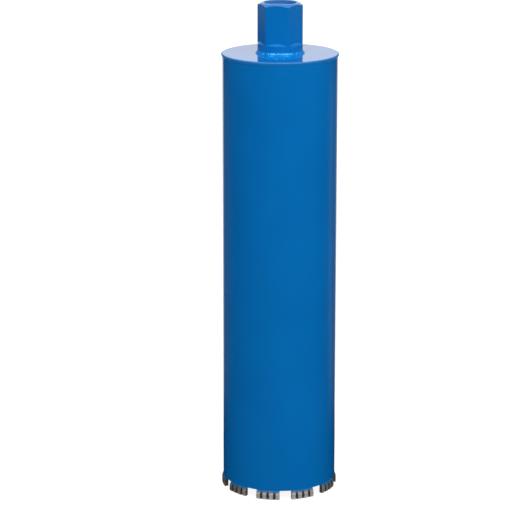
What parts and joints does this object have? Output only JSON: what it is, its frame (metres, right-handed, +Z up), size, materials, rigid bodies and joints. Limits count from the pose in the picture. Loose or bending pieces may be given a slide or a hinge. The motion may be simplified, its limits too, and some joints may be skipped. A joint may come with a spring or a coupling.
{
  "type": "diamond core bit",
  "caption": "Long wet diamond core bit for drilling round holes in concrete: painted steel barrel, welded cap and threaded hub, crown of grooved segments.",
  "frame": {"origin": "on the axis, in the plane of the segments' cutting faces", "axes": "+Z up the axis from the cutting plane to the hub; -Y is the normal of one wrench flat"},
  "size_m": [0.1196, 0.12, 0.508],
  "materials": {
    "barrel_paint": "gloss blue enamel",
    "cap_paint": "gloss blue enamel",
    "hub_paint": "gloss blue enamel",
    "weld_paint": "gloss blue enamel over a rippled bead",
    "segment_bond": "sintered, matt, gritty"
  },
  "bodies": {
    "root": {"barrel_tube": "barrel_paint", "end_cap": "cap_paint", "threaded_hub": "hub_paint", "hub_weld": "weld_paint", "segment_01": "segment_bond", "segment_02": "segment_bond", "segment_03": "segment_bond", "segment_04": "segment_bond", "segment_05": "segment_bond", "segment_06": "segment_bond", "segment_07": "segment_bond", "segment_08": "segment_bond", "segment_09": "segment_bond", "segment_10": "segment_bond"}
  },
  "joints": []
}
